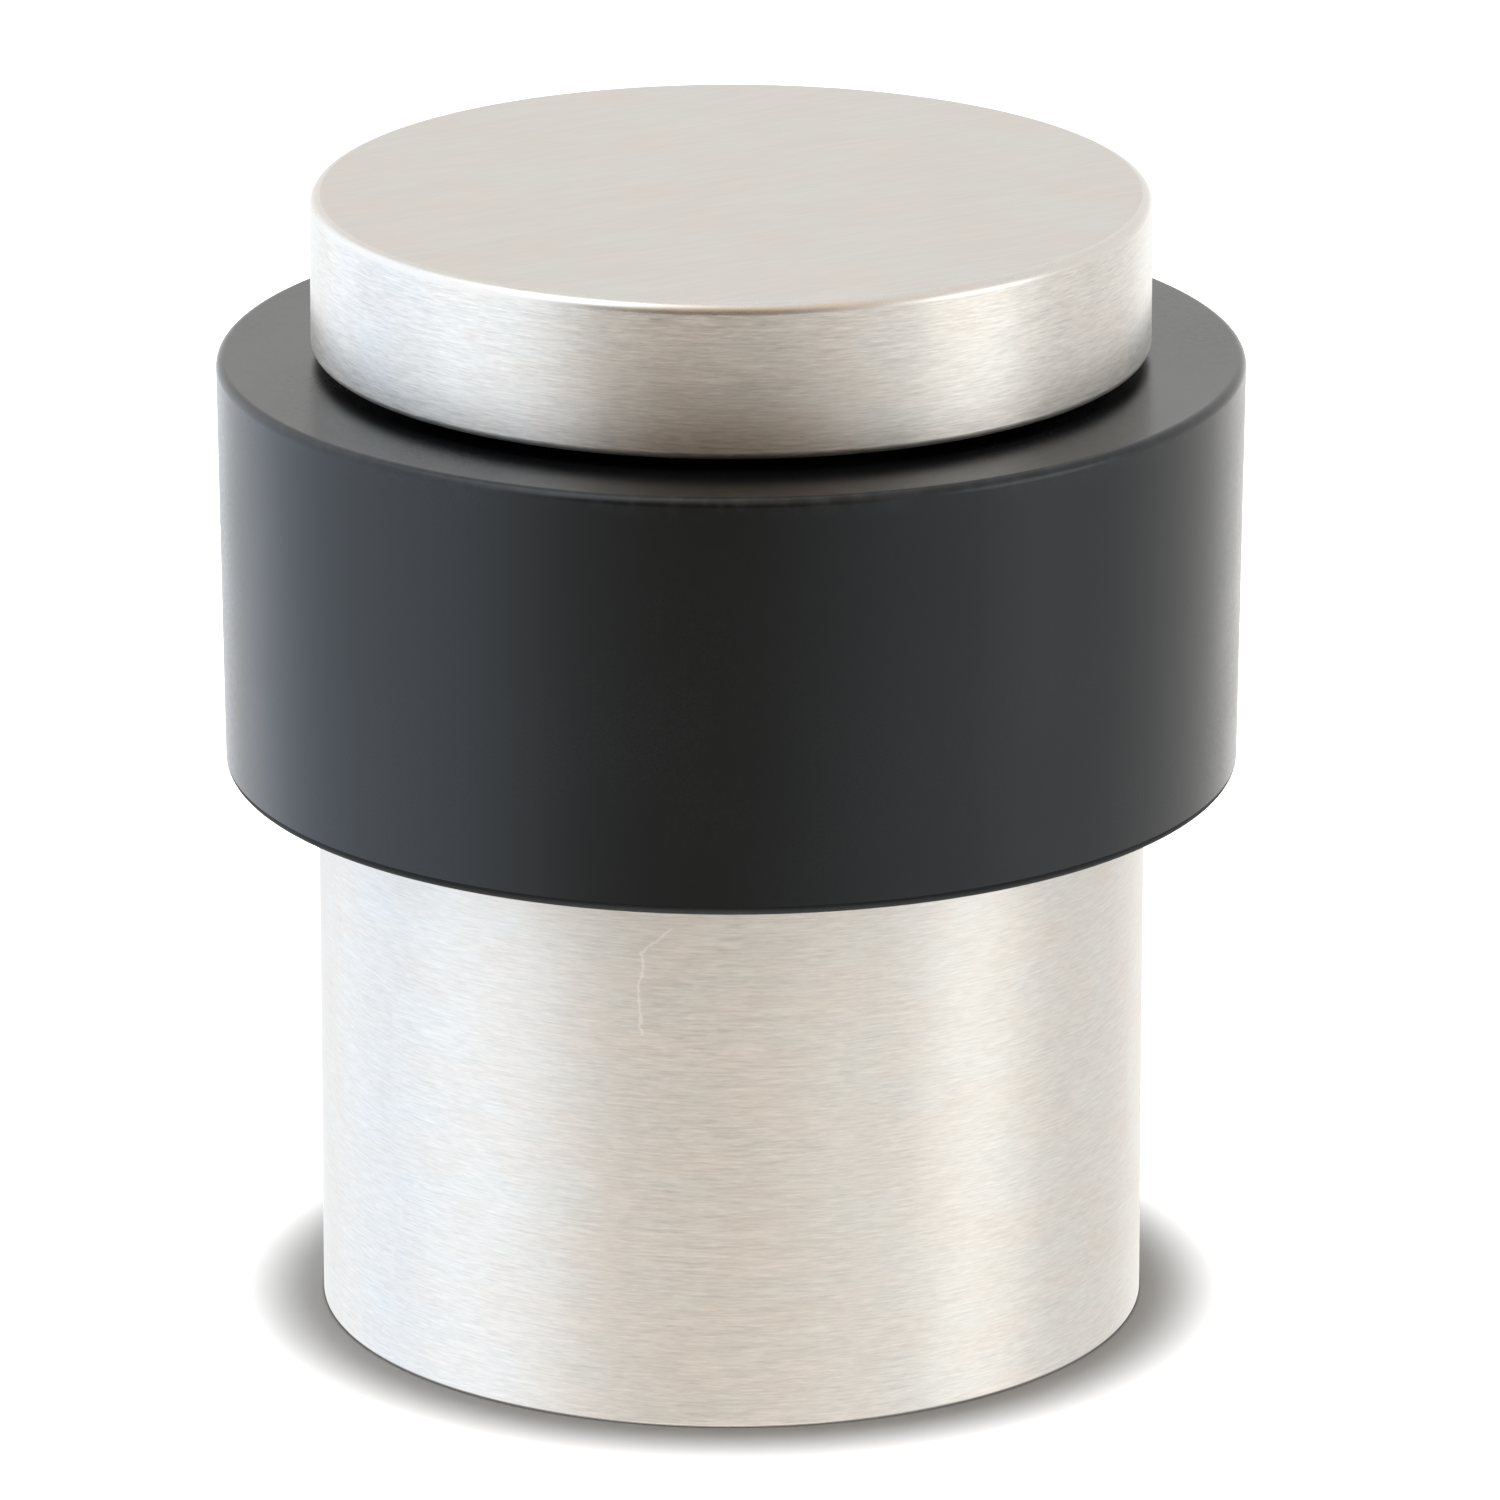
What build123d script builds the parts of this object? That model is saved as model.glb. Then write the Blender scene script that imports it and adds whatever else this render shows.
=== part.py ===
"""Cylindrical floor door stop: stainless sleeve and cap with a rubber buffer ring, on a hidden floor plate.

The stop stands on the floor at Z = 0, on the Z axis, with +Z up. The door comes from the front (-Y) and the
set screw is at the back (+Y). All sizes are in millimetres.
"""

from build123d import *
import os

os.makedirs("parts", exist_ok=True)

# ---- Driving dimensions -------------------------------------------------------------------------

# Stack, from the floor up
SLEEVE_HEIGHT = 21.6
NECK_LENGTH = 16.0
THRUST_THICKNESS = 0.8
CAP_THICKNESS = 6.0

# Outer radii
SLEEVE_RADIUS = 16.0
CAP_RADIUS = 16.1
RING_TOP_RADIUS = 19.75
RING_FOOT_RADIUS = 19.55
NECK_RADIUS = 12.0

# Clearances
TURNING_GAP = 0.1       # radial, between pieces that turn or slide on each other
THREAD_GAP = 0.05       # radial, between a screw and the plain bore that stands for its thread
END_GAP = 0.1           # below the ring
RING_PLAY = 0.4         # between the ring and the cap

# Sleeve
CAVITY_RADIUS = 12.5
WEB_THICKNESS = 4.0
SLEEVE_FOOT_FILLET = 0.15
SLEEVE_TOP_CHAMFER = 0.3

# Floor plate and its screw holes
PLATE_RADIUS = 12.35
PLATE_THICKNESS = 5.0
PLATE_CHAMFER = 0.5
SCREW_CIRCLE_RADIUS = 7.5
SCREW_COUNT = 3
FIRST_SCREW_ANGLE = 30
SCREW_HOLE_RADIUS = 2.15
COUNTERSINK_RADIUS = 4.0
COUNTERSINK_ANGLE = 90

# M6 tie bolt with its washers
BOLT_RADIUS = 3.0
BOLT_LENGTH = 25.0
BOLT_HOLE_RADIUS = 3.25
BOLT_HEAD_RADIUS = 5.0
BOLT_HEAD_HEIGHT = 6.0
BOLT_SOCKET_AF = 5.0
BOLT_SOCKET_DEPTH = 3.0
BOLT_CHAMFER = 0.6
WASHER_THICKNESS = 1.6
FLAT_WASHER_RADIUS = 6.0
FLAT_WASHER_BORE = 3.2
SPRING_WASHER_RADIUS = 5.9
SPRING_WASHER_BORE = 3.1
SPRING_WASHER_SLIT = 0.8

# Core
CORE_SPIGOT_RADIUS = 6.0
CORE_SPIGOT_LENGTH = 2.0
CORE_CHAMFER = 0.5

# Cap and its spigot
CAP_TOP_FILLET = 0.3
CAP_FOOT_FILLET = 0.3
CAP_SPIGOT_RADIUS = 7.0
CAP_SPIGOT_LENGTH = 6.0
CAP_SPIGOT_CHAMFER = 0.5
CAP_BORE_DEPTH = 9.5

# Nylon thrust washer
THRUST_RADIUS = 11.7

# Buffer ring
RING_TOP_FILLET = 0.35
RING_FOOT_FILLET = 0.45
RING_BORE_CHAMFER = 0.4

# M4 set screw
SET_RADIUS = 2.0
SET_LENGTH = 3.0
SET_HEIGHT = 2.6
SET_SOCKET_AF = 2.0
SET_SOCKET_DEPTH = 1.5
SET_CUP_RADIUS = 1.0
SET_CUP_DEPTH = 0.5
SET_CHAMFER = 0.5

# ---- Levels worked out from them ----------------------------------------------------------------

WEB_UNDERSIDE = SLEEVE_HEIGHT - WEB_THICKNESS
NECK_TOP = SLEEVE_HEIGHT + NECK_LENGTH
CAP_UNDERSIDE = NECK_TOP + THRUST_THICKNESS
RING_FOOT = SLEEVE_HEIGHT + END_GAP
RING_TOP = CAP_UNDERSIDE - RING_PLAY
RING_BORE_RADIUS = NECK_RADIUS + TURNING_GAP
CAP_SPIGOT_FOOT = CAP_UNDERSIDE - CAP_SPIGOT_LENGTH
FLAT_WASHER_FOOT = WEB_UNDERSIDE - WASHER_THICKNESS
SPRING_WASHER_FOOT = FLAT_WASHER_FOOT - WASHER_THICKNESS
BOLT_HEAD_FOOT = SPRING_WASHER_FOOT - BOLT_HEAD_HEIGHT
SET_TIP = PLATE_RADIUS + THREAD_GAP

# ---- Sleeve: a deep cup, open at the floor, with a web on top that carries the core ---------------

with BuildPart() as body_sleeve:
    with BuildSketch(Plane.XY):
        Circle(SLEEVE_RADIUS)
    extrude(amount=SLEEVE_HEIGHT)
    rims = body_sleeve.edges().filter_by(GeomType.CIRCLE).sort_by(Axis.Z)
    fillet(rims[0], SLEEVE_FOOT_FILLET)
    chamfer(rims[-1], SLEEVE_TOP_CHAMFER)
    with BuildSketch(Plane.XY):
        Circle(CAVITY_RADIUS)
    extrude(amount=WEB_UNDERSIDE, mode=Mode.SUBTRACT)
    # seat for the core's spigot, and the bolt's clearance hole
    with Locations((0, 0, SLEEVE_HEIGHT)):
        CounterBoreHole(
            radius=BOLT_HOLE_RADIUS,
            counter_bore_radius=CORE_SPIGOT_RADIUS + THREAD_GAP,
            counter_bore_depth=CORE_SPIGOT_LENGTH + END_GAP,
        )
    # set screw hole, from the back through the wall
    with BuildSketch(Plane(origin=(0, CAVITY_RADIUS / 2, SET_HEIGHT), z_dir=(0, 1, 0))):
        Circle(SET_RADIUS + THREAD_GAP)
    extrude(amount=SLEEVE_RADIUS, mode=Mode.SUBTRACT)

body_sleeve.part.label = "body_sleeve"
export_step(body_sleeve.part, "parts/body_sleeve.step")

# ---- Floor plate: countersunk for the floor screws -----------------------------------------------

with BuildPart() as floor_plate:
    with BuildSketch(Plane.XY):
        Circle(PLATE_RADIUS)
    extrude(amount=PLATE_THICKNESS)
    chamfer(floor_plate.edges().sort_by(Axis.Z)[-1], PLATE_CHAMFER)
    with Locations(floor_plate.faces().sort_by(Axis.Z)[-1]):
        with PolarLocations(SCREW_CIRCLE_RADIUS, SCREW_COUNT, start_angle=FIRST_SCREW_ANGLE):
            CounterSinkHole(
                radius=SCREW_HOLE_RADIUS,
                counter_sink_radius=COUNTERSINK_RADIUS,
                counter_sink_angle=COUNTERSINK_ANGLE,
            )

floor_plate.part.label = "floor_plate"
export_step(floor_plate.part, "parts/floor_plate.step")

# ---- Tie bolt: head down in the sleeve, shank up into the cap --------------------------------------

with BuildPart() as tie_bolt:
    with BuildSketch(Plane.XY.offset(BOLT_HEAD_FOOT)):
        Circle(BOLT_HEAD_RADIUS)
    extrude(amount=BOLT_HEAD_HEIGHT)
    chamfer(tie_bolt.edges().filter_by(GeomType.CIRCLE).sort_by(Axis.Z)[0], BOLT_CHAMFER)
    with BuildSketch(Plane.XY.offset(SPRING_WASHER_FOOT)):
        Circle(BOLT_RADIUS)
    extrude(amount=BOLT_LENGTH)
    chamfer(tie_bolt.edges().filter_by(GeomType.CIRCLE).sort_by(Axis.Z)[-1], BOLT_CHAMFER)
    with BuildSketch(Plane.XY.offset(BOLT_HEAD_FOOT)):
        RegularPolygon(radius=BOLT_SOCKET_AF / 2, side_count=6, major_radius=False)
    extrude(amount=BOLT_SOCKET_DEPTH, mode=Mode.SUBTRACT)

tie_bolt.part.label = "tie_bolt"
export_step(tie_bolt.part, "parts/tie_bolt.step")

# ---- Washers under the bolt head -------------------------------------------------------------------

with BuildPart() as spring_washer:
    with BuildSketch(Plane.XY.offset(SPRING_WASHER_FOOT)):
        Circle(SPRING_WASHER_RADIUS)
        Circle(SPRING_WASHER_BORE, mode=Mode.SUBTRACT)
        with Locations((SPRING_WASHER_RADIUS, 0)):
            Rectangle(SPRING_WASHER_RADIUS, SPRING_WASHER_SLIT, mode=Mode.SUBTRACT)
    extrude(amount=WASHER_THICKNESS)

spring_washer.part.label = "spring_washer"
export_step(spring_washer.part, "parts/spring_washer.step")

with BuildPart() as flat_washer:
    with BuildSketch(Plane.XY.offset(FLAT_WASHER_FOOT)):
        Circle(FLAT_WASHER_RADIUS)
        Circle(FLAT_WASHER_BORE, mode=Mode.SUBTRACT)
    extrude(amount=WASHER_THICKNESS)

flat_washer.part.label = "flat_washer"
export_step(flat_washer.part, "parts/flat_washer.step")

# ---- Core: the round neck that the ring sits on ------------------------------------------------------

with BuildPart() as neck_core:
    with BuildSketch(Plane.XY.offset(SLEEVE_HEIGHT)):
        Circle(NECK_RADIUS)
    extrude(amount=NECK_LENGTH)
    chamfer(neck_core.edges().filter_by(GeomType.CIRCLE), CORE_CHAMFER)
    with BuildSketch(Plane.XY.offset(SLEEVE_HEIGHT)):
        Circle(CORE_SPIGOT_RADIUS)
    extrude(amount=-CORE_SPIGOT_LENGTH)
    # seat for the cap's spigot, and the bolt's clearance hole
    with Locations((0, 0, NECK_TOP)):
        CounterBoreHole(
            radius=BOLT_HOLE_RADIUS,
            counter_bore_radius=CAP_SPIGOT_RADIUS + TURNING_GAP,
            counter_bore_depth=CAP_SPIGOT_LENGTH - THRUST_THICKNESS + END_GAP,
        )

neck_core.part.label = "neck_core"
export_step(neck_core.part, "parts/neck_core.step")

# ---- Thrust washer: nylon, held on the cap's spigot ----------------------------------------------------

with BuildPart() as thrust_washer:
    with BuildSketch(Plane.XY.offset(NECK_TOP)):
        Circle(THRUST_RADIUS)
        Circle(CAP_SPIGOT_RADIUS + TURNING_GAP, mode=Mode.SUBTRACT)
    extrude(amount=THRUST_THICKNESS)

thrust_washer.part.label = "thrust_washer"
export_step(thrust_washer.part, "parts/thrust_washer.step")

# ---- Buffer ring: moulded rubber with a slight draft towards the floor ----------------------------------

with BuildPart() as buffer_ring:
    with BuildSketch(Plane.XZ):
        with BuildLine():
            Polyline(
                (RING_BORE_RADIUS, RING_FOOT),
                (RING_FOOT_RADIUS, RING_FOOT),
                (RING_TOP_RADIUS, RING_TOP),
                (RING_BORE_RADIUS, RING_TOP),
                close=True,
            )
        make_face()
    revolve(axis=Axis.Z)
    rims = buffer_ring.edges().filter_by(GeomType.CIRCLE).sort_by(Axis.Z).group_by(Axis.Z)
    foot_rims = rims[0].sort_by(SortBy.RADIUS)
    top_rims = rims[-1].sort_by(SortBy.RADIUS)
    fillet(top_rims[-1], RING_TOP_FILLET)
    fillet(foot_rims[-1], RING_FOOT_FILLET)
    chamfer([foot_rims[0], top_rims[0]], RING_BORE_CHAMFER)

buffer_ring.part.label = "buffer_ring"
export_step(buffer_ring.part, "parts/buffer_ring.step")

# ---- Cap: a disc with a spigot underneath, screwed onto the tie bolt -------------------------------------

with BuildPart() as cap:
    with BuildSketch(Plane.XY.offset(CAP_UNDERSIDE)):
        Circle(CAP_RADIUS)
    extrude(amount=CAP_THICKNESS)
    rims = cap.edges().filter_by(GeomType.CIRCLE).sort_by(Axis.Z)
    fillet(rims[-1], CAP_TOP_FILLET)
    fillet(rims[0], CAP_FOOT_FILLET)
    with BuildSketch(Plane.XY.offset(CAP_SPIGOT_FOOT)):
        Circle(CAP_SPIGOT_RADIUS)
    extrude(amount=CAP_SPIGOT_LENGTH)
    chamfer(cap.edges().filter_by(GeomType.CIRCLE).sort_by(Axis.Z)[0], CAP_SPIGOT_CHAMFER)
    with BuildSketch(Plane.XY.offset(CAP_SPIGOT_FOOT)):
        Circle(BOLT_RADIUS + THREAD_GAP)
    extrude(amount=CAP_BORE_DEPTH, mode=Mode.SUBTRACT)

cap.part.label = "cap"
export_step(cap.part, "parts/cap.step")

# ---- Set screw: its cup point bears on the plate's rim, its socket faces out of the sleeve ------------------

with BuildPart() as set_screw:
    with BuildSketch(Plane(origin=(0, SET_TIP, SET_HEIGHT), z_dir=(0, 1, 0))):
        Circle(SET_RADIUS)
    extrude(amount=SET_LENGTH)
    chamfer(set_screw.edges().filter_by(GeomType.CIRCLE), SET_CHAMFER)
    # cup point
    with BuildSketch(Plane(origin=(0, SET_TIP, SET_HEIGHT), z_dir=(0, 1, 0))):
        Circle(SET_CUP_RADIUS)
    extrude(amount=SET_CUP_DEPTH, taper=45, mode=Mode.SUBTRACT)
    # hex socket
    with BuildSketch(Plane(origin=(0, SET_TIP + SET_LENGTH, SET_HEIGHT), z_dir=(0, 1, 0))):
        RegularPolygon(radius=SET_SOCKET_AF / 2, side_count=6, major_radius=False)
    extrude(amount=-SET_SOCKET_DEPTH, mode=Mode.SUBTRACT)

set_screw.part.label = "set_screw"
export_step(set_screw.part, "parts/set_screw.step")
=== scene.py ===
"""Looks of the cylindrical floor door stop: brushed steel sleeve and cap round a black rubber ring.

All lengths are in metres, in the frame of the CAD model: +Z up, the door side towards -Y. Each piece takes
its outer sizes from the CAD nodes, and adds what they leave plain: fillets, threads, sockets and brushing.
"""

import math

import bmesh
import bpy
from mathutils import Matrix, Vector


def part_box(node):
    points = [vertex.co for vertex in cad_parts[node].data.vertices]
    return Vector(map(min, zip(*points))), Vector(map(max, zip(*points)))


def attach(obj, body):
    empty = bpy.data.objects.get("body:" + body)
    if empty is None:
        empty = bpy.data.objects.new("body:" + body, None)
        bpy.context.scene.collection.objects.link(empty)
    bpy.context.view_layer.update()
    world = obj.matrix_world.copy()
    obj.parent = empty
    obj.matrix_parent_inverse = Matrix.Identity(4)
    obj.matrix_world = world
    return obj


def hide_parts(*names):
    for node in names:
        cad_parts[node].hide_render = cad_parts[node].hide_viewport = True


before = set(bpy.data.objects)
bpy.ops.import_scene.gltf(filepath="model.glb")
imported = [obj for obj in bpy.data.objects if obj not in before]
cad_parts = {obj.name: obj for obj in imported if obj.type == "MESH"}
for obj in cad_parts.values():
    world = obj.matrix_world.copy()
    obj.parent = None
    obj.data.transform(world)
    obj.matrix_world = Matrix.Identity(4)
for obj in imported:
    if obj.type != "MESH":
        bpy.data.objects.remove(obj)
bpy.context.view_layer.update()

MM = 0.001
FULL_TURN = 2 * math.pi
SEGMENTS = 256
ARC_STEPS = 8
SHARP_ANGLE = math.radians(32)
NEARLY_LEVEL = 0.999            # least upward normal of a face that counts as a top
SURFACE_SLACK = 0.02 * MM       # flat faces of a round side lie a little inside its radius

# ---- Camera and studio ----------------------------------------------------------------------------

CAMERA_DISTANCE = 0.45
CAMERA_HEIGHT = 0.16759
CAMERA_TILT = math.radians(17.936)
CAMERA_PAN = math.radians(0.092)
CAMERA_LENS = 293.05

# The room is a pale world with soft round panels, each drawn over the ones before it
ROOM_COLOR = (1.20, 1.18, 1.16)
PANELS = (                      # azimuth, elevation, core angle and rim angle in degrees, colour
    (0, -90, 40, 70, (1.60, 1.57, 1.52)),
    (-70, 52, 22, 40, (2.80, 2.80, 2.85)),
    (16, 50, 18, 42, (1.20, 0.98, 0.80)),
    (-6, 8, 14, 58, (0.36, 0.29, 0.225)),
    (0, -72, 20, 38, (5.00, 4.80, 4.58)),
    (-98, 5, 34, 66, (1.72, 1.81, 1.95)),
    (-112, -16, 6, 30, (1.47, 1.63, 1.84)),
    (70, 5, 10, 28, (2.60, 2.58, 2.52)),
    (128, 5, 12, 36, (1.25, 1.22, 1.18)),
    (-160, -14, 5, 22, (1.40, 1.44, 1.50)),
    (158, -14, 6, 26, (1.50, 1.48, 1.45)),
)
OVERHEAD_STRENGTH = 7.0
OVERHEAD_ANGLE = math.radians(17)
FILL_STRENGTH = 0.48
FILL_ANGLE = math.radians(150)
FLOOR_SIZE = 40.0
FLOOR_COLOR = (0.88, 0.88, 0.88, 1.0)

# ---- Sizes that the CAD boxes give ------------------------------------------------------------------

SLEEVE_LOW, SLEEVE_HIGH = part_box("body_sleeve")
CAP_LOW, CAP_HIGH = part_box("cap")
RING_LOW, RING_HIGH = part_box("buffer_ring")
CORE_LOW, CORE_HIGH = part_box("neck_core")
PLATE_LOW, PLATE_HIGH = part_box("floor_plate")
BOLT_LOW, BOLT_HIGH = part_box("tie_bolt")
SET_LOW, SET_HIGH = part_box("set_screw")
THRUST_LOW, THRUST_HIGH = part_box("thrust_washer")
FLAT_LOW, FLAT_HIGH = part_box("flat_washer")
SPRING_LOW, SPRING_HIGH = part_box("spring_washer")

# ---- Sizes that only the looks need ---------------------------------------------------------------------

THREAD_GAP = 0.05 * MM
TURNING_GAP = 0.1 * MM
CAVITY_GAP = 0.15 * MM          # between the floor plate and the sleeve's bore

TINY_FILLET = 0.1 * MM
FINE_FILLET = 0.15 * MM
SMALL_FILLET = 0.2 * MM
FILLET = 0.3 * MM
SOFT_FILLET = 0.4 * MM
CAP_RIM_FILLET = 0.4 * MM
SLEEVE_FOOT_FILLET = 0.12 * MM
RING_TOP_FILLET = 0.35 * MM
RING_FOOT_FILLET = 0.4 * MM
RING_DRAFT = 0.2 * MM           # by which the ring's foot is smaller in radius than its top
CORE_CHAMFER = 0.5 * MM
CORE_MOUTH_FILLET = 0.25 * MM
PLATE_TOP_FILLET = 0.5 * MM
WASHER_TOP_FILLET = 0.35 * MM
SET_HOLE_CHAMFER = 0.25 * MM

BOLT_HOLE_RADIUS = 3.25 * MM
CORE_SPIGOT_RADIUS = 6.0 * MM
CAP_SPIGOT_RADIUS = 7.0 * MM
CAP_BORE_DEPTH = 9.5 * MM
BOLT_RADIUS = 3.0 * MM
BOLT_HEAD_HEIGHT = 6.0 * MM
BOLT_HEAD_CHAMFER = 0.6 * MM
BOLT_NECK_FILLET = 0.2 * MM
BOLT_TIP_CHAMFER = 0.4 * MM
BOLT_PITCH = 1.0 * MM
BOLT_PLAIN_LENGTH = 2.0 * MM
BOLT_KEY = 5 * MM               # across the flats of the hexagonal socket
BOLT_KEY_DEPTH = 3 * MM
KNURLS = 48
KNURL_DEPTH = 0.16 * MM
KNURL_MARGIN = 0.8 * MM         # plain part of the head above the knurling
KNURL_RUNOUT = 0.1 * MM
SET_PITCH = 0.7 * MM
SET_CHAMFER = 0.5 * MM
SET_POINT_RADIUS = 1.0 * MM
SET_CUP_DEPTH = 0.5 * MM
SET_KEY = 2 * MM
SET_KEY_DEPTH = 1.5 * MM
SET_SEGMENTS = 96
ROWS_PER_PITCH = 10
THREAD_DEPTH = 0.6134           # depth, flat crest and flank of a thread, in pitches
THREAD_CREST = 0.125
THREAD_FLANK = 0.625
HOLE_SEGMENTS = 64
PLATE_SCREWS = 3
PLATE_FIRST_HOLE = math.radians(30)
PLATE_HOLE_RADIUS = 2.15 * MM
PLATE_HOLE_CIRCLE = 7.5 * MM
COUNTERSINK_RADIUS = 4.0 * MM
FLAT_HOLE_RADIUS = 3.2 * MM
SPRING_HOLE_RADIUS = 3.1 * MM
SPRING_SLIT = 0.8 * MM
SPRING_SLIT_REACH = 6 * MM      # half the slit cutter's height, more than the washer's thickness needs
SPRING_SLIT_SLANT = math.radians(20)
SLIT_STRETCH = 6                # of the square cutter, so that it reaches through the washer's width


def rounded(corners):
    """Points of an outline through (radius, height, fillet) corners, with each fillet as an arc."""
    points = []
    for i, (radius, height, fillet) in enumerate(corners):
        corner = Vector((radius, height))
        if not fillet:
            points.append(corner)
            continue
        before = (Vector(corners[i - 1][:2]) - corner).normalized()
        after = (Vector(corners[(i + 1) % len(corners)][:2]) - corner).normalized()
        half = before.angle(after) / 2
        centre = corner + (before + after).normalized() * fillet / math.sin(half)
        start = corner + before * fillet / math.tan(half) - centre
        end = corner + after * fillet / math.tan(half) - centre
        points += [centre + start.slerp(end, step / ARC_STEPS).normalized() * fillet
                   for step in range(ARC_STEPS + 1)]
    return points


def lathe(name, outline, segments=SEGMENTS, shape=None):
    """Turns an outline of (radius, height) points about Z. An outline that stays off the axis is closed.

    shape(radius, height, angle) gives the radius there, for threads and knurling.
    """
    build = bmesh.new()
    rings = []
    for radius, height in outline:
        if radius == 0:
            rings.append([build.verts.new((0, 0, height))])
            continue
        ring = []
        for step in range(segments):
            angle = FULL_TURN * step / segments
            r = shape(radius, height, angle) if shape else radius
            ring.append(build.verts.new((r * math.cos(angle), r * math.sin(angle), height)))
        rings.append(ring)
    pairs = list(zip(rings, rings[1:]))
    if outline[0][0] > 0:
        pairs.append((rings[-1], rings[0]))
    for lower, upper in pairs:
        for step in range(segments):
            after = (step + 1) % segments
            corners = [lower[step % len(lower)], lower[after % len(lower)],
                       upper[after % len(upper)], upper[step % len(upper)]]
            build.faces.new(list(dict.fromkeys(corners)))
    bmesh.ops.recalc_face_normals(build, faces=build.faces)
    data = bpy.data.meshes.new(name)
    build.to_mesh(data)
    build.free()
    piece = bpy.data.objects.new(name, data)
    bpy.context.scene.collection.objects.link(piece)
    return piece


def cut(piece, *cutters):
    """Cuts the cutters out of a piece and removes them."""
    for cutter in cutters:
        modifier = piece.modifiers.new("cut", "BOOLEAN")
        modifier.operation = "DIFFERENCE"
        modifier.solver = "EXACT"
        modifier.object = cutter
    bpy.context.view_layer.update()
    evaluated = piece.evaluated_get(bpy.context.evaluated_depsgraph_get())
    data = bpy.data.meshes.new_from_object(evaluated)
    piece.modifiers.clear()
    piece.data = data
    for cutter in cutters:
        bpy.data.objects.remove(cutter)


def move_mesh(piece, location, rotation=(0, 0, 0)):
    """Moves a piece by its mesh, so that its object stays at the origin."""
    piece.location = location
    piece.rotation_euler = rotation
    bpy.context.view_layer.update()
    piece.data.transform(piece.matrix_world)
    piece.location = (0, 0, 0)
    piece.rotation_euler = (0, 0, 0)


def face_radius(face):
    """Distance of a face's centre from the Z axis."""
    return math.hypot(face.center.x, face.center.y)


def finish_piece(piece, node, body, materials, choose=None):
    """Shades a piece, gives each face its material and joins the piece to its body."""
    piece.data.materials.clear()
    for material in materials:
        piece.data.materials.append(material)
    for face in piece.data.polygons:
        face.material_index = choose(face) if choose else 0
    piece.data.shade_smooth()
    piece.data.set_sharp_from_angle(angle=SHARP_ANGLE)
    weighted = piece.modifiers.new("even_shading", "WEIGHTED_NORMAL")
    weighted.keep_sharp = True
    weighted.weight = 100
    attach(piece, body)
    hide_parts(node)


# ---- Materials ---------------------------------------------------------------------------------------

BRUSH_ANGLE = math.radians(31)      # of the lines across the cap's top, from +X

# Scales of the brushing's noise, in features a metre along X, Y and Z of the brushing
COARSE_ROUND = (850, 850, 13000)
FINE_ROUND = (2200, 2200, 27000)
COARSE_ACROSS = (300, 6000, 300)
FINE_ACROSS = (800, 22000, 800)
STEEL_CLOUDS = (330, 330, 620)
COARSE_SHARE = 0.55
FINE_OFFSET = 3.7                   # the offsets keep the patterns from repeating one another
CLOUD_OFFSET = 9.1

# The hairline scratch on the sleeve's front
SCRATCH_X = -3.42 * MM
SCRATCH_TOP = 20.0 * MM
SCRATCH_BEND = 18.95 * MM
SCRATCH_FOOT = 15.7 * MM
SCRATCH_SLOPE = 1.12
SCRATCH_WIDTH = 0.08 * MM
SCRATCH_WANDER = 0.24 * MM
SCRATCH_STRENGTH = 0.3
SCRATCH_COLOR = (0.85, 0.84, 0.82)
# Painted shade: a dark colour for the sleeve's lowest fillet, in place of the dark contact shadow it would
# mirror
FOOT_PAINTED_SHADE_COLOR = (0.10, 0.096, 0.09)

# Faint warm and cool clouds in the steel's tone, as multipliers
COOL_CAST = (0.975, 1.0, 1.0)
WARM_CAST = (1.0, 0.985, 0.965)

STEEL = (0.56, 0.54, 0.515)
TURNED_STEEL = (0.56, 0.55, 0.53)
WASHER_STEEL = (0.52, 0.51, 0.50)
ALUMINIUM = (0.72, 0.73, 0.74)
BLACK_OXIDE = (0.035, 0.034, 0.036)
BARE_METAL = (0.33, 0.32, 0.31)
BLUE_ZINC = (0.50, 0.52, 0.56)
DULL_ZINC = (0.62, 0.61, 0.57)
NYLON_DARK = (0.66, 0.64, 0.57)
NYLON_LIGHT = (0.74, 0.72, 0.66)
RUBBER = (0.0015, 0.0016, 0.0019)
RUBBER_SHEEN = (0.88, 0.95, 1.0, 1.0)
RUBBER_DUST = (0.009, 0.0093, 0.010)
RING_WEAR = 1.0 * MM            # how far the dust reaches from the ring's upper edge


def add(tree, kind, inputs=(), **settings):
    """A new node, with its settings and the values or links of its inputs."""
    node = tree.nodes.new("ShaderNode" + kind)
    for key, value in settings.items():
        setattr(node, key, value)
    for key, value in dict(inputs).items():
        if isinstance(value, bpy.types.NodeSocket):
            tree.links.new(value, node.inputs[key])
        else:
            node.inputs[key].default_value = value
    return node


def new_material(name, **values):
    """A material with its Principled shader, whose plain values are set by socket name."""
    material = bpy.data.materials.new(name)
    material.use_nodes = True
    shader = material.node_tree.nodes["Principled BSDF"]
    for key, value in values.items():
        shader.inputs[key.replace("_", " ")].default_value = value
    return material, material.node_tree, shader


def place_of(tree):
    """The place on the piece, in metres."""
    return add(tree, "TexCoord").outputs["Object"]


def stretched(tree, place, scale, angle=0.0, offset=0.0):
    """The place turned about Z and scaled, so that noise read there is drawn out into lines."""
    turned = add(tree, "Mapping", {"Vector": place, "Rotation": (0, 0, -angle)}).outputs[0]
    scaled = add(tree, "Mapping", {"Vector": turned, "Scale": scale, "Location": (offset,) * 3})
    return scaled.outputs[0]


def noise(tree, vector, detail=2.0, roughness=0.5, scale=1.0):
    """A noise pattern; the scale is in features a metre."""
    return add(tree, "TexNoise", {"Vector": vector, "Scale": scale, "Detail": detail,
                                  "Roughness": roughness}).outputs[0]


def between(tree, factor, low, high, from_low=0.0, from_high=1.0):
    """The factor carried from its own range to low..high."""
    return add(tree, "MapRange", {"Value": factor, "From Min": from_low, "From Max": from_high,
                                  "To Min": low, "To Max": high}).outputs[0]


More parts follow.
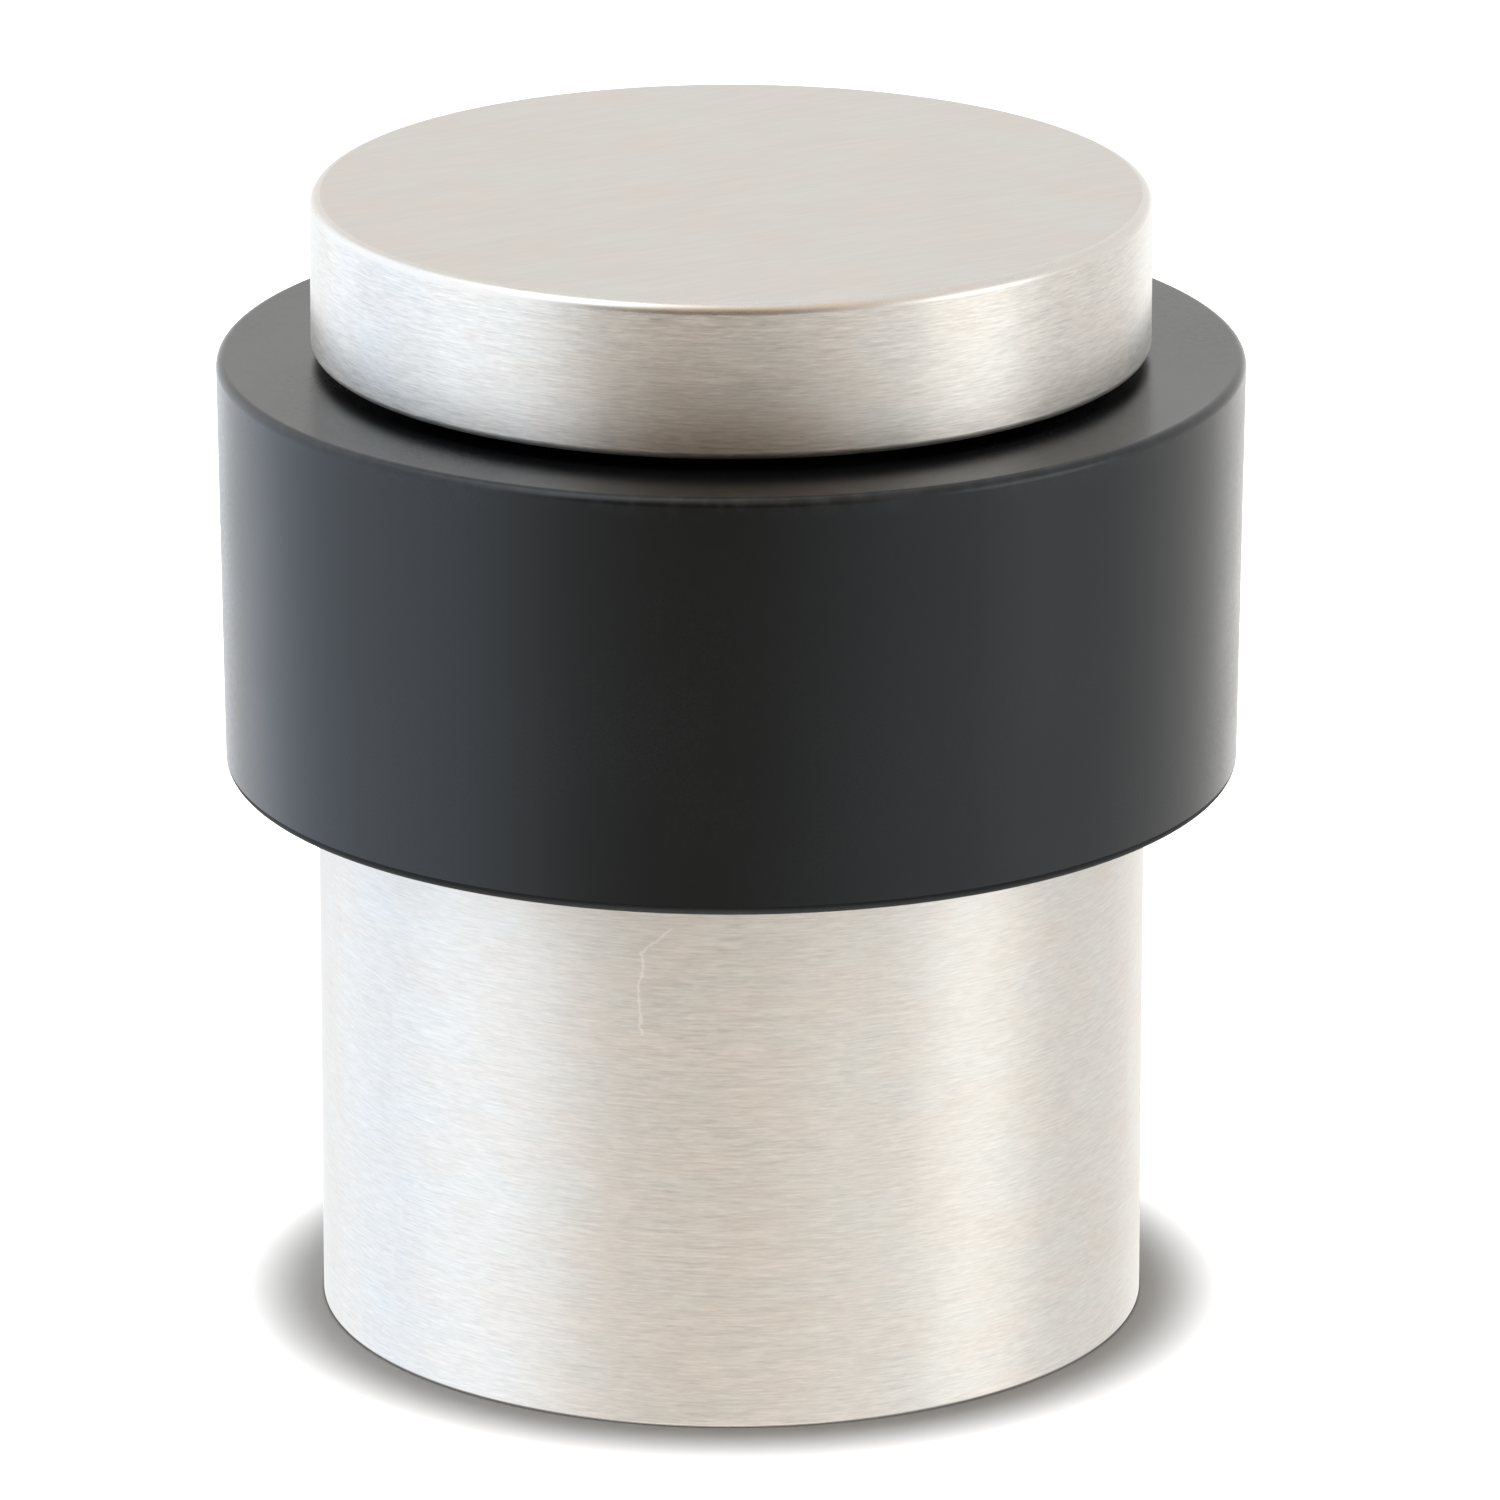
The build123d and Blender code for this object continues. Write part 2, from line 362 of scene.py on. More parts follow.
def spread(tree, pattern, low, high, reach=0.2):
    """A noise pattern, which keeps within reach of one half, carried to low..high."""
    return between(tree, pattern, low, high, 0.5 - reach, 0.5 + reach)


def math_node(tree, operation, first, second=0.0):
    """The result of one operation on numbers or links."""
    return add(tree, "Math", {0: first, 1: second}, operation=operation).outputs[0]


def mixed_color(tree, factor, first, second, blend="MIX"):
    """Colour from first to second, each given as three numbers or as a link."""
    ends = [(*end, 1) if isinstance(end, tuple) else end for end in (first, second)]
    node = add(tree, "Mix", {0: factor, 6: ends[0], 7: ends[1]}, data_type="RGBA", blend_type=blend)
    return node.outputs[2]


def two_tones(tree, pattern, color, contrast, reach):
    """The colour, darker and lighter by the contrast where the pattern says."""
    dark = tuple(c * (1 - contrast) for c in color)
    light = tuple(min(c * (1 + contrast), 1.0) for c in color)
    return mixed_color(tree, spread(tree, pattern, 0, 1, reach), dark, light)


def roughen(tree, shader, height, strength, depth):
    """Bump from a height pattern."""
    bump = add(tree, "Bump", {"Height": height, "Strength": strength, "Distance": depth})
    tree.links.new(bump.outputs[0], shader.inputs["Normal"])


def hairline(tree, place):
    """Mask of the hairline scratch on the sleeve's front: it drops from upper right, then straight down."""
    parts = add(tree, "SeparateXYZ", {0: place})
    x, y, z = parts.outputs[0], parts.outputs[1], parts.outputs[2]
    above_bend = math_node(tree, "MAXIMUM", math_node(tree, "SUBTRACT", z, SCRATCH_BEND), 0.0)
    slant = math_node(tree, "MULTIPLY", above_bend, SCRATCH_SLOPE)
    crooked = noise(tree, place, detail=3, roughness=0.65, scale=800)
    wander = spread(tree, crooked, -SCRATCH_WANDER, SCRATCH_WANDER)
    path = math_node(tree, "ADD", math_node(tree, "ADD", slant, wander), SCRATCH_X)
    away = math_node(tree, "ABSOLUTE", math_node(tree, "SUBTRACT", x, path))
    line = between(tree, away, 1, 0, 0.3 * SCRATCH_WIDTH, SCRATCH_WIDTH)
    in_front = math_node(tree, "LESS_THAN", y, 0.0)
    high = math_node(tree, "LESS_THAN", z, SCRATCH_TOP)
    low = math_node(tree, "GREATER_THAN", z, SCRATCH_FOOT)
    inside = math_node(tree, "MULTIPLY", math_node(tree, "MULTIPLY", high, low), in_front)
    return math_node(tree, "MULTIPLY", line, inside)


def brushed_steel(name, brushing, roughness, anisotropy, contrast, on_sleeve=False):
    """Satin stainless steel. Its brushing runs round the axis, or straight across at BRUSH_ANGLE."""
    material, tree, shader = new_material(name, Metallic=1.0, Anisotropic=anisotropy,
                                          Anisotropic_Rotation=0.25)
    place = place_of(tree)
    if brushing == "round":
        tangent = add(tree, "Tangent", direction_type="RADIAL", axis="Z").outputs[0]
        coarse = stretched(tree, place, COARSE_ROUND)
        fine = stretched(tree, place, FINE_ROUND, offset=FINE_OFFSET)
        angle = 0.0
    else:
        along = (math.cos(BRUSH_ANGLE), math.sin(BRUSH_ANGLE), 0)
        tangent = add(tree, "VectorTransform", {"Vector": along}, vector_type="VECTOR",
                      convert_from="OBJECT", convert_to="WORLD").outputs[0]
        coarse = stretched(tree, place, COARSE_ACROSS, BRUSH_ANGLE)
        fine = stretched(tree, place, FINE_ACROSS, BRUSH_ANGLE, offset=FINE_OFFSET)
        angle = BRUSH_ANGLE
    tree.links.new(tangent, shader.inputs["Tangent"])
    lines = math_node(tree, "ADD",
                      math_node(tree, "MULTIPLY", noise(tree, coarse, detail=3), COARSE_SHARE),
                      math_node(tree, "MULTIPLY", noise(tree, fine, detail=2), 1 - COARSE_SHARE))
    clouds = noise(tree, stretched(tree, place, STEEL_CLOUDS, angle, offset=CLOUD_OFFSET), detail=3)
    hue = mixed_color(tree, spread(tree, clouds, 0, 1, reach=0.15), COOL_CAST, WARM_CAST)
    tone = mixed_color(tree, 1.0, two_tones(tree, lines, STEEL, contrast, reach=0.18), hue, "MULTIPLY")
    if on_sleeve:
        mark = math_node(tree, "MULTIPLY", hairline(tree, place), SCRATCH_STRENGTH)
        tone = mixed_color(tree, mark, tone, SCRATCH_COLOR)
        # Painted shade: the sleeve's colour fades to a dark tone over its lowest SLEEVE_FOOT_FILLET,
        # standing in for the contact shadow
        height = add(tree, "SeparateXYZ", {0: place}).outputs["Z"]
        foot_shade_mask = between(tree, height, 1, 0, 0.5 * SLEEVE_FOOT_FILLET, SLEEVE_FOOT_FILLET)
        tone = mixed_color(tree, foot_shade_mask, tone, FOOT_PAINTED_SHADE_COLOR)
    tree.links.new(tone, shader.inputs["Base Color"])
    uneven = math_node(tree, "ADD", spread(tree, lines, -0.05, 0.05),
                       spread(tree, clouds, roughness - 0.02, roughness + 0.02))
    tree.links.new(uneven, shader.inputs["Roughness"])
    roughen(tree, shader, lines, strength=0.25, depth=0.004 * MM)
    return material


def distance_from_axis(tree, place):
    """Distance of the place from the Z axis, and its height."""
    parts = add(tree, "SeparateXYZ", {0: place})
    flat = add(tree, "CombineXYZ", {0: parts.outputs["X"], 1: parts.outputs["Y"]}).outputs[0]
    across = add(tree, "VectorMath", {0: flat}, operation="LENGTH").outputs["Value"]
    return across, parts.outputs["Z"]


def machined(name, color, roughness, contrast=0.08, pitch=0.12 * MM):
    """A turned surface: fine rings round the axis on flats, fine lines on bores and sides."""
    material, tree, shader = new_material(name, Metallic=1.0)
    place = place_of(tree)
    across, height = distance_from_axis(tree, place)
    rings = add(tree, "CombineXYZ", {0: across, 1: 0.0, 2: height}).outputs[0]
    lines = noise(tree, stretched(tree, rings, (1 / pitch, 1, 1 / pitch)), detail=3)
    blotches = noise(tree, stretched(tree, place, (260, 260, 260)), detail=3)
    both = math_node(tree, "ADD", math_node(tree, "MULTIPLY", lines, 0.6),
                     math_node(tree, "MULTIPLY", blotches, 0.4))
    tone = two_tones(tree, both, color, contrast, reach=0.15)
    tree.links.new(tone, shader.inputs["Base Color"])
    uneven = spread(tree, both, roughness - 0.06, roughness + 0.06, reach=0.15)
    tree.links.new(uneven, shader.inputs["Roughness"])
    roughen(tree, shader, lines, strength=0.3, depth=0.004 * MM)
    return material


def rubber(name, roughness, gloss):
    """Moulded black rubber: a fine matt grain, faint clouds, and dust rubbed into its upper edge."""
    material, tree, shader = new_material(name, Specular_IOR_Level=gloss, Specular_Tint=RUBBER_SHEEN)
    place = place_of(tree)
    grain = noise(tree, place, detail=4, roughness=0.6, scale=5200)
    clouds = noise(tree, place, detail=3, roughness=0.55, scale=140)
    dark = tuple(c * 0.8 for c in RUBBER)
    light = tuple(c * 1.3 for c in RUBBER)
    tone = mixed_color(tree, spread(tree, clouds, 0, 1), dark, light)
    across, height = distance_from_axis(tree, place)
    near_rim = math_node(tree, "MULTIPLY",
                         between(tree, across, 0, 1, RING_HIGH.x - RING_WEAR, RING_HIGH.x),
                         between(tree, height, 0, 1, RING_HIGH.z - RING_WEAR, RING_HIGH.z))
    scuffs = between(tree, noise(tree, place, detail=5, roughness=0.65, scale=1300), 0, 1, 0.45, 0.65)
    worn = math_node(tree, "MULTIPLY", near_rim, scuffs)
    tree.links.new(mixed_color(tree, worn, tone, RUBBER_DUST), shader.inputs["Base Color"])
    uneven = math_node(tree, "ADD", spread(tree, clouds, roughness - 0.03, roughness + 0.03),
                       spread(tree, grain, -0.03, 0.03))
    tree.links.new(uneven, shader.inputs["Roughness"])
    roughen(tree, shader, grain, strength=0.15, depth=0.01 * MM)
    return material


def worn_black(name, crest_radius, depth, axis_height=None):
    """Black oxide on steel, rubbed to bright metal on the outermost crests.

    axis_height is given for a screw that lies along Y.
    """
    material, tree, shader = new_material(name, Metallic=1.0)
    place = place_of(tree)
    along_axis = place
    if axis_height is not None:
        parts = add(tree, "SeparateXYZ", {0: place})
        lowered = math_node(tree, "SUBTRACT", parts.outputs["Z"], axis_height)
        along_axis = add(tree, "CombineXYZ", {0: parts.outputs["X"], 1: lowered}).outputs[0]
    across = distance_from_axis(tree, along_axis)[0]
    grain = noise(tree, place, detail=4, roughness=0.6, scale=2600)
    clouds = noise(tree, place, detail=3, roughness=0.6, scale=420)
    crest = between(tree, across, 0, 1, crest_radius - depth, crest_radius)
    worn = math_node(tree, "MULTIPLY", crest, between(tree, clouds, 0, 1, 0.42, 0.62))
    tree.links.new(mixed_color(tree, worn, BLACK_OXIDE, BARE_METAL), shader.inputs["Base Color"])
    tree.links.new(spread(tree, grain, 0.34, 0.50), shader.inputs["Roughness"])
    roughen(tree, shader, grain, strength=0.2, depth=0.006 * MM)
    return material


def zinc_plate(name):
    """Bright zinc plating with a faint blue passivation in patches, duller where it was handled."""
    material, tree, shader = new_material(name, Metallic=1.0)
    place = place_of(tree)
    patches = noise(tree, place, detail=4, roughness=0.6, scale=330)
    grain = noise(tree, place, detail=3, roughness=0.6, scale=3200)
    tone = mixed_color(tree, spread(tree, patches, 0, 1, reach=0.15), BLUE_ZINC, DULL_ZINC)
    tree.links.new(tone, shader.inputs["Base Color"])
    uneven = math_node(tree, "ADD", spread(tree, patches, 0.26, 0.42), spread(tree, grain, -0.03, 0.03))
    tree.links.new(uneven, shader.inputs["Roughness"])
    roughen(tree, shader, grain, strength=0.2, depth=0.006 * MM)
    return material


def moulded_nylon(name):
    """Off-white nylon with a soft sheen and faint flow marks."""
    material, tree, shader = new_material(name, Specular_IOR_Level=0.45)
    place = place_of(tree)
    flow = noise(tree, place, detail=3, roughness=0.5, scale=260)
    grain = noise(tree, place, detail=3, roughness=0.6, scale=3000)
    tone = mixed_color(tree, spread(tree, flow, 0, 1), NYLON_DARK, NYLON_LIGHT)
    tree.links.new(tone, shader.inputs["Base Color"])
    tree.links.new(spread(tree, grain, 0.38, 0.5), shader.inputs["Roughness"])
    roughen(tree, shader, grain, strength=0.15, depth=0.008 * MM)
    return material


steel_sleeve = brushed_steel("satin_steel_sleeve", "round", roughness=0.40, anisotropy=0.80, contrast=0.14,
                             on_sleeve=True)
steel_round = brushed_steel("satin_steel_round", "round", roughness=0.34, anisotropy=0.80, contrast=0.19)
steel_across = brushed_steel("satin_steel_across", "across", roughness=0.40, anisotropy=0.60, contrast=0.08)
steel_edge = brushed_steel("satin_steel_edge", "round", roughness=0.28, anisotropy=0.30, contrast=0.05)
steel_turned = machined("satin_steel_turned", TURNED_STEEL, roughness=0.35)
core_metal = machined("turned_aluminium", ALUMINIUM, roughness=0.34)
washer_steel = machined("washer_steel", WASHER_STEEL, roughness=0.32, pitch=0.3 * MM)
plate_zinc = zinc_plate("plate_zinc")
washer_nylon = moulded_nylon("washer_nylon")
bolt_black = worn_black("bolt_black", BOLT_HIGH.x, 0.12 * MM)
bolt_thread_black = worn_black("bolt_thread_black", BOLT_RADIUS, 0.15 * MM)
set_screw_black = worn_black("set_screw_black", SET_HIGH.x, 0.12 * MM, (SET_LOW.z + SET_HIGH.z) / 2)
ring_rubber = rubber("buffer_rubber", roughness=0.24, gloss=0.37)
ring_foot_rubber = rubber("buffer_rubber_foot", roughness=0.60, gloss=0.15)


# ---- Camera, lamps and floor ---------------------------------------------------------------------------


def direction(azimuth, elevation):
    """Unit vector from the stop; azimuth is from the camera's side towards +X, both in degrees."""
    a = math.radians(azimuth)
    e = math.radians(elevation)
    return Vector((math.sin(a) * math.cos(e), -math.cos(a) * math.cos(e), math.sin(e)))


def make_camera():
    """The camera, in front of the stop, above it and tilted down to it."""
    data = bpy.data.cameras.new("camera")
    data.lens = CAMERA_LENS
    data.clip_start = 0.01
    camera = bpy.data.objects.new("camera", data)
    camera.location = (0, -CAMERA_DISTANCE, CAMERA_HEIGHT)
    camera.rotation_euler = (math.pi / 2 - CAMERA_TILT, 0, -CAMERA_PAN)
    bpy.context.scene.collection.objects.link(camera)
    bpy.context.scene.camera = camera


def make_studio():
    """A pale room drawn as the world, where each panel is a soft round patch, bright or dim."""
    scene = bpy.context.scene
    scene.view_settings.view_transform = "Standard"
    world = bpy.data.worlds.new("studio")
    world.use_nodes = True
    scene.world = world
    tree = world.node_tree
    toward = add(tree, "TexCoord").outputs["Generated"]
    color = add(tree, "CombineColor", dict(enumerate(ROOM_COLOR))).outputs[0]
    for azimuth, elevation, core, rim, panel_color in PANELS:
        axis = direction(azimuth, elevation)
        cosine = add(tree, "VectorMath", {0: toward, 1: axis}, operation="DOT_PRODUCT").outputs["Value"]
        angle = math_node(tree, "ARCCOSINE", cosine)
        inside = add(tree, "MapRange", {"Value": angle, "From Min": math.radians(rim),
                                        "From Max": math.radians(core)},
                     interpolation_type="SMOOTHSTEP").outputs[0]
        color = mixed_color(tree, inside, color, panel_color)
    tree.links.new(color, tree.nodes["Background"].inputs["Color"])
    world.cycles_visibility.diffuse = False
    overhead_lamp("overhead", OVERHEAD_STRENGTH, OVERHEAD_ANGLE)
    overhead_lamp("fill", FILL_STRENGTH, FILL_ANGLE)


def overhead_lamp(name, strength, angle):
    """Light straight from above, for the floor and the rubber; the steel mirrors only the room."""
    data = bpy.data.lights.new(name, "SUN")
    data.energy = strength
    data.angle = angle
    lamp = bpy.data.objects.new(name, data)
    lamp.visible_glossy = False
    bpy.context.scene.collection.objects.link(lamp)


def make_floor():
    """A plain pale floor, kept out of the metal's reflections."""
    mesh = bmesh.new()
    bmesh.ops.create_grid(mesh, x_segments=1, y_segments=1, size=FLOOR_SIZE / 2)
    data = bpy.data.meshes.new("floor")
    mesh.to_mesh(data)
    mesh.free()
    floor = bpy.data.objects.new("floor", data)
    bpy.context.scene.collection.objects.link(floor)
    material = new_material("floor", Roughness=1.0, Specular_IOR_Level=0.0, Base_Color=FLOOR_COLOR)[0]
    data.materials.append(material)
    floor.visible_glossy = False


# ---- Pieces -------------------------------------------------------------------------------------------


def make_sleeve():
    """The brushed sleeve: a deep cup, with its set screw hole in the back and a seat for the core on top."""
    radius = SLEEVE_HIGH.x
    bore = PLATE_HIGH.x + CAVITY_GAP
    seat = CORE_LOW.z - TURNING_GAP
    seat_radius = CORE_SPIGOT_RADIUS + THREAD_GAP
    piece = lathe("sleeve", rounded([
        (bore, SLEEVE_LOW.z, SMALL_FILLET),
        (radius, SLEEVE_LOW.z, SLEEVE_FOOT_FILLET),
        (radius, SLEEVE_HIGH.z, FILLET),
        (seat_radius, SLEEVE_HIGH.z, FINE_FILLET),
        (seat_radius, seat, 0),
        (BOLT_HOLE_RADIUS, seat, 0),
        (BOLT_HOLE_RADIUS, FLAT_HIGH.z, FINE_FILLET),
        (bore, FLAT_HIGH.z, SOFT_FILLET),
    ]))
    hole_radius = SET_HIGH.x + THREAD_GAP
    mouth = radius - SET_HOLE_CHAMFER
    cutter = lathe("set_screw_hole", [
        (0, bore - MM), (hole_radius, bore - MM), (hole_radius, mouth),
        (hole_radius + MM, mouth + MM), (0, mouth + MM),
    ], segments=HOLE_SEGMENTS)
    move_mesh(cutter, (0, 0, (SET_LOW.z + SET_HIGH.z) / 2), (-math.pi / 2, 0, 0))
    cut(piece, cutter)

    def choose(face):
        return 0 if face_radius(face) > radius - FILLET - SURFACE_SLACK else 1

    finish_piece(piece, "body_sleeve", "stop", [steel_sleeve, steel_turned], choose)


def make_cap():
    """The cap: brushed straight across its top and round its side, with a turned spigot underneath."""
    radius = CAP_HIGH.x
    underside = THRUST_HIGH.z
    bore = BOLT_RADIUS + THREAD_GAP
    bore_top = CAP_LOW.z + CAP_BORE_DEPTH
    piece = lathe("cap_disc", rounded([
        (0, CAP_HIGH.z, 0),
        (radius, CAP_HIGH.z, CAP_RIM_FILLET),
        (radius, underside, FILLET),
        (CAP_SPIGOT_RADIUS, underside, SMALL_FILLET),
        (CAP_SPIGOT_RADIUS, CAP_LOW.z, SOFT_FILLET),
        (bore, CAP_LOW.z, FILLET),
        (bore, bore_top, 0),
        (0, bore_top + bore / 2, 0),
    ]))
    materials = [steel_round, steel_across, steel_edge, steel_turned]

    def choose(face):
        if face.normal.z > NEARLY_LEVEL:
            return materials.index(steel_across)
        r = face_radius(face)
        if r > radius - CAP_RIM_FILLET and face.center.z > CAP_HIGH.z - CAP_RIM_FILLET:
            return materials.index(steel_edge)
        return materials.index(steel_round if r > radius - FILLET - SURFACE_SLACK else steel_turned)

    finish_piece(piece, "cap", "cap", materials, choose)


def make_ring():
    """The buffer ring: moulded rubber with soft edges and a slight draft towards the floor."""
    bore = CORE_HIGH.x + TURNING_GAP
    foot_radius = RING_HIGH.x - RING_DRAFT
    piece = lathe("buffer_ring_rubber", rounded([
        (bore, RING_LOW.z, SOFT_FILLET),
        (foot_radius, RING_LOW.z, RING_FOOT_FILLET),
        (RING_HIGH.x, RING_HIGH.z, RING_TOP_FILLET),
        (bore, RING_HIGH.z, SOFT_FILLET),
    ]))

    def choose(face):
        outer = face_radius(face) > foot_radius - RING_FOOT_FILLET
        return 1 if outer and face.center.z < RING_LOW.z + RING_FOOT_FILLET else 0

    finish_piece(piece, "buffer_ring", "ring", [ring_rubber, ring_foot_rubber], choose)


def thread_outline(top, bottom, pitch):
    """Outline rows fine enough to carry a thread, from the top corner to the bottom corner."""
    steps = round((top[1] - bottom[1]) / pitch * ROWS_PER_PITCH)
    return [(top[0] + (bottom[0] - top[0]) * i / steps, top[1] + (bottom[1] - top[1]) * i / steps)
            for i in range(steps + 1)]


def thread_radius(pitch, low, high):
    """Radius function of a right-hand thread between two heights, with flat crests and roots."""
    depth = THREAD_DEPTH * pitch

    def radius_at(radius, height, angle):
        if not low < height < high:
            return radius
        turn = (height / pitch - angle / FULL_TURN) % 1.0
        flank = min(max((abs(turn - 0.5) * 2 - THREAD_CREST) / THREAD_FLANK, 0.0), 1.0)
        runout = min((height - low) / pitch, 1.0)
        return radius - depth * flank * runout

    return radius_at


def hexagon(name, across_flats, low, high):
    """A hexagonal cutter between two heights, for a key socket."""
    radius = across_flats / math.sqrt(3)
    return lathe(name, [(0, low), (radius, low), (radius, high), (0, high)], segments=6)


def make_core():
    """The turned aluminium neck, hidden inside the rubber, which carries the ring and the cap."""
    radius = CORE_HIGH.x
    counterbore = CAP_SPIGOT_RADIUS + TURNING_GAP
    counterbore_floor = CAP_LOW.z - TURNING_GAP
    piece = lathe("core_turned", rounded([
        (BOLT_HOLE_RADIUS, CORE_LOW.z, 0),
        (CORE_SPIGOT_RADIUS, CORE_LOW.z, FILLET),
        (CORE_SPIGOT_RADIUS, SLEEVE_HIGH.z, 0),
        (radius - CORE_CHAMFER, SLEEVE_HIGH.z, 0),
        (radius, SLEEVE_HIGH.z + CORE_CHAMFER, 0),
        (radius, CORE_HIGH.z - CORE_CHAMFER, 0),
        (radius - CORE_CHAMFER, CORE_HIGH.z, 0),
        (counterbore, CORE_HIGH.z, CORE_MOUTH_FILLET),
        (counterbore, counterbore_floor, 0),
        (BOLT_HOLE_RADIUS, counterbore_floor, SMALL_FILLET),
    ]))
    finish_piece(piece, "neck_core", "stop", [core_metal])


def make_floor_plate():
    """The zinc-plated plate that is screwed to the floor, with three countersunk holes."""
    radius = PLATE_HIGH.x
    top = PLATE_HIGH.z
    piece = lathe("plate_zinc_disc", rounded([
        (0, PLATE_LOW.z, 0),
        (radius, PLATE_LOW.z, FILLET),
        (radius, top, PLATE_TOP_FILLET),
        (0, top, 0),
    ]))
    cutters = []
    for i in range(PLATE_SCREWS):
        angle = PLATE_FIRST_HOLE + FULL_TURN * i / PLATE_SCREWS
        cutter = lathe("plate_hole", [
            (0, PLATE_LOW.z - MM), (PLATE_HOLE_RADIUS, PLATE_LOW.z - MM),
            (PLATE_HOLE_RADIUS, top - (COUNTERSINK_RADIUS - PLATE_HOLE_RADIUS)),
            (COUNTERSINK_RADIUS, top), (COUNTERSINK_RADIUS, top + MM), (0, top + MM),
        ], segments=HOLE_SEGMENTS)
        move_mesh(cutter, (PLATE_HOLE_CIRCLE * math.cos(angle), PLATE_HOLE_CIRCLE * math.sin(angle), 0))
        cutters.append(cutter)
    cut(piece, *cutters)
    finish_piece(piece, "floor_plate", "floor", [plate_zinc])


def make_tie_bolt():
    """M6 socket head bolt, head down, with a knurled head and a real thread up into the cap."""
    head_top = BOLT_LOW.z + BOLT_HEAD_HEIGHT
    head_radius = BOLT_HIGH.x
    knurl_low = BOLT_LOW.z + BOLT_HEAD_CHAMFER
    knurl_high = head_top - KNURL_MARGIN
    thread = thread_radius(BOLT_PITCH, head_top + BOLT_PLAIN_LENGTH, BOLT_HIGH.z + MM)

    def shape(radius, height, angle):
        if height > head_top:
            return thread(radius, height, angle)
        if knurl_low < height < knurl_high:
            return radius - KNURL_DEPTH * abs(math.sin(angle * KNURLS / 2))
        return radius

    tip_low = BOLT_HIGH.z - BOLT_TIP_CHAMFER
    tip = thread_outline((BOLT_RADIUS - BOLT_TIP_CHAMFER, BOLT_HIGH.z), (BOLT_RADIUS, tip_low), BOLT_PITCH)
    shank = thread_outline(tip[-1], (BOLT_RADIUS, head_top + BOLT_NECK_FILLET), BOLT_PITCH)
    piece = lathe("bolt_m6", [
        (0, BOLT_HIGH.z),
        *tip,
        *shank[1:],
        (BOLT_RADIUS + BOLT_NECK_FILLET, head_top),
        (head_radius - FILLET, head_top),
        (head_radius, head_top - FILLET),
        (head_radius, knurl_high + KNURL_RUNOUT / 2),
        (head_radius, knurl_high - KNURL_RUNOUT),
        (head_radius, knurl_low + KNURL_RUNOUT),
        (head_radius, knurl_low),
        (head_radius - BOLT_HEAD_CHAMFER, BOLT_LOW.z),
        (0, BOLT_LOW.z),
    ], segments=KNURLS * 4, shape=shape)
    cut(piece, hexagon("bolt_socket", BOLT_KEY, BOLT_LOW.z - MM, BOLT_LOW.z + BOLT_KEY_DEPTH))

    def choose(face):
        return 1 if face.center.z > head_top + SURFACE_SLACK else 0

    finish_piece(piece, "tie_bolt", "stop", [bolt_black, bolt_thread_black], choose)


def make_set_screw():
    """M4 set screw across the sleeve's foot, with a key socket outside and a cup point inside."""
    radius = SET_HIGH.x
    inner = SET_LOW.y
    outer = SET_HIGH.y
    thread = thread_radius(SET_PITCH, inner - MM, outer + MM)

    def shape(r, height, angle):
        return thread(r, height, angle) if r > SET_POINT_RADIUS else r

    point = thread_outline((radius, inner + SET_CHAMFER), (radius - SET_CHAMFER, inner), SET_PITCH)
    flank = thread_outline((radius, outer - SET_CHAMFER), point[0], SET_PITCH)
    mouth = thread_outline((radius - SET_CHAMFER, outer), flank[0], SET_PITCH)
    piece = lathe("set_screw_m4", [
        (0, outer),
        *mouth,
        *flank[1:],
        *point[1:],
        (SET_POINT_RADIUS, inner),
        (0, inner + SET_CUP_DEPTH),
    ], segments=SET_SEGMENTS, shape=shape)
    cut(piece, hexagon("set_screw_socket", SET_KEY, outer - SET_KEY_DEPTH, outer + MM))
    move_mesh(piece, (0, 0, (SET_LOW.z + SET_HIGH.z) / 2), (-math.pi / 2, 0, 0))
    finish_piece(piece, "set_screw", "set_screw", [set_screw_black])


